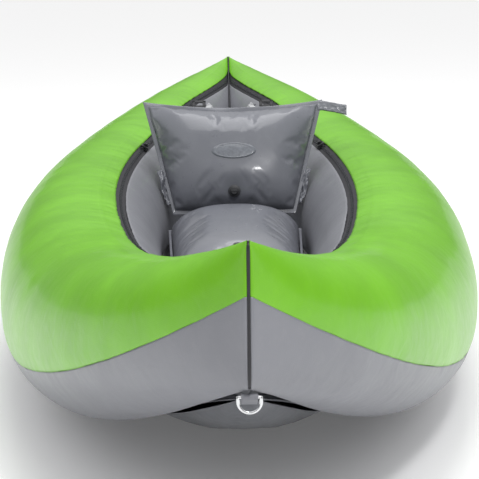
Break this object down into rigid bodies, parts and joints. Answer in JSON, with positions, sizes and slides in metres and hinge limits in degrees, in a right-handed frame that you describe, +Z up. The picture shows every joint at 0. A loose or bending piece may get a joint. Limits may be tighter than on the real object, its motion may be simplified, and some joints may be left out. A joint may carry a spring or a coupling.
{
  "type": "inflatable kayak",
  "caption": "One-seat inflatable kayak with two pinched side tubes, a slung air floor, covers with zips, an inflated seat and backrest.",
  "frame": {"origin": "on the ground under the middle of the hull", "axes": "+Z up, -Y towards the bow, +X to port"},
  "size_m": [0.914, 3.1164, 0.5038],
  "materials": {
    "green_coated_fabric": "gloss coated fabric",
    "grey_coated_fabric": "gloss coated fabric",
    "bladder_film": "clear film",
    "black_zip": "woven tape with moulded teeth",
    "black_welt": "satin",
    "black_plastic": "satin",
    "ring_steel": "polished",
    "seat_fabric": "coated fabric",
    "badge_plastic": "welded badge",
    "webbing": "flat webbing"
  },
  "bodies": {
    "hull": {"tube_top_panel_port": "green_coated_fabric", "tube_top_panel_starboard": "green_coated_fabric", "tube_bottom_panel_port": "grey_coated_fabric", "tube_bottom_panel_starboard": "grey_coated_fabric", "tube_inner_panel_port": "grey_coated_fabric", "tube_inner_panel_starboard": "grey_coated_fabric", "air_cell_port": "bladder_film", "air_cell_starboard": "bladder_film", "zip_port": "black_zip", "zip_starboard": "black_zip", "valve_body_port": "black_plastic", "valve_body_starboard": "black_plastic", "floor_top_panel": "grey_coated_fabric", "floor_bottom_panel": "grey_coated_fabric", "floor_air_cell": "bladder_film", "floor_valve_body": "black_plastic", "bow_welt": "black_welt", "stern_welt": "black_welt", "bow_ring_tab": "grey_coated_fabric", "stern_ring_tab": "grey_coated_fabric", "seat_base": "seat_fabric", "seat_base_valve": "black_plastic", "stay_port": "webbing", "stay_starboard": "webbing", "stay_anchor_port": "grey_coated_fabric", "stay_anchor_starboard": "grey_coated_fabric"},
    "backrest": {"backrest": "seat_fabric", "backrest_badge": "badge_plastic", "backrest_valve": "black_plastic", "backrest_corner_tab": "webbing", "backrest_flap_port": "webbing", "backrest_flap_starboard": "webbing", "stay_tab_port": "webbing", "stay_tab_starboard": "webbing"},
    "zip_slider_port": {"zip_slider_port": "black_plastic"},
    "zip_slider_starboard": {"zip_slider_starboard": "black_plastic"},
    "zip_pull_port": {"zip_pull_port": "black_plastic"},
    "zip_pull_starboard": {"zip_pull_starboard": "black_plastic"},
    "bow_ring": {"bow_ring": "ring_steel"},
    "stern_ring": {"stern_ring": "ring_steel"},
    "seat_base_valve_stem": {"seat_base_valve_stem": "black_plastic"},
    "backrest_valve_stem": {"backrest_valve_stem": "black_plastic"},
    "valve_button_port": {"valve_button_port": "black_plastic"},
    "valve_button_starboard": {"valve_button_starboard": "black_plastic"},
    "valve_cap_port": {"valve_cap_port": "black_plastic"},
    "valve_cap_starboard": {"valve_cap_starboard": "black_plastic"},
    "floor_valve_button": {"floor_valve_button": "black_plastic"},
    "floor_valve_cap": {"floor_valve_cap": "black_plastic"},
    "stay_adjuster_port": {"stay_adjuster_port": "black_plastic"},
    "stay_adjuster_starboard": {"stay_adjuster_starboard": "black_plastic"}
  },
  "joints": [
    {"name": "backrest_fold", "type": "hinge", "parent": "hull", "child": "backrest", "pos_m": [0, 0.218, 0.192], "axis": [1, 0, 0], "range_deg": [0, 50]},
    {"name": "zip_run_port", "type": "hinge", "parent": "hull", "child": "zip_slider_port", "pos_m": [-3.80968, 0, 0.31], "axis": [0, 0, 1], "range_deg": [-13.4, 0]},
    {"name": "zip_run_starboard", "type": "hinge", "parent": "hull", "child": "zip_slider_starboard", "pos_m": [3.80968, 0, 0.31], "axis": [0, 0, 1], "range_deg": [0, 13.4]},
    {"name": "zip_pull_lift_port", "type": "hinge", "parent": "zip_slider_port", "child": "zip_pull_port", "pos_m": [0.19456, 0.47044, 0.31885], "axis": [0.8601, 0.101, 0.5], "range_deg": [0, 100]},
    {"name": "zip_pull_lift_starboard", "type": "hinge", "parent": "zip_slider_starboard", "child": "zip_pull_starboard", "pos_m": [-0.19456, 0.47044, 0.31885], "axis": [0.8601, -0.101, -0.5], "range_deg": [0, 100]},
    {"name": "valve_cap_off_port", "type": "slide", "parent": "hull", "child": "valve_cap_port", "axis": [-0.905, -0.1244, 0.4067], "range_m": [0, 0.06]},
    {"name": "valve_cap_off_starboard", "type": "slide", "parent": "hull", "child": "valve_cap_starboard", "axis": [0.905, -0.1244, 0.4067], "range_m": [0, 0.06]},
    {"name": "floor_valve_cap_off", "type": "slide", "parent": "hull", "child": "floor_valve_cap", "axis": [0, -0.0232, 0.9997], "range_m": [0, 0.06]},
    {"name": "valve_press_port", "type": "slide", "parent": "hull", "child": "valve_button_port", "axis": [0.905, 0.1244, -0.4067], "range_m": [0, 0.005], "stiffness_N_per_m": 600, "springref_m": -0.002},
    {"name": "valve_press_starboard", "type": "slide", "parent": "hull", "child": "valve_button_starboard", "axis": [-0.905, 0.1244, -0.4067], "range_m": [0, 0.005], "stiffness_N_per_m": 600, "springref_m": -0.002},
    {"name": "floor_valve_press", "type": "slide", "parent": "hull", "child": "floor_valve_button", "axis": [0, 0.0232, -0.9997], "range_m": [0, 0.005], "stiffness_N_per_m": 600, "springref_m": -0.002},
    {"name": "seat_base_valve_twist", "type": "hinge", "parent": "hull", "child": "seat_base_valve_stem", "pos_m": [0, -0.3311, 0.24347], "axis": [0, -0.2474, 0.9689], "range_deg": [0, 90]},
    {"name": "backrest_valve_twist", "type": "hinge", "parent": "backrest", "child": "backrest_valve_stem", "pos_m": [0, 0.20549, 0.2572], "axis": [0, -0.9688, 0.2478], "range_deg": [0, 90]},
    {"name": "stay_adjuster_tilt_port", "type": "hinge", "parent": "backrest", "child": "stay_adjuster_port", "pos_m": [0.074, 0.39478, 0.40077], "axis": [1, 0, 0], "range_deg": [-20, 20]},
    {"name": "stay_adjuster_tilt_starboard", "type": "hinge", "parent": "backrest", "child": "stay_adjuster_starboard", "pos_m": [-0.074, 0.39478, 0.40077], "axis": [1, 0, 0], "range_deg": [-20, 20]},
    {"name": "bow_ring_swing", "type": "hinge", "parent": "hull", "child": "bow_ring", "pos_m": [0, -1.544, 0.2915], "axis": [1, 0, 0], "range_deg": [-90, 45]},
    {"name": "stern_ring_swing", "type": "hinge", "parent": "hull", "child": "stern_ring", "pos_m": [0, 1.544, 0.1914], "axis": [1, 0, 0], "range_deg": [-45, 90]}
  ]
}
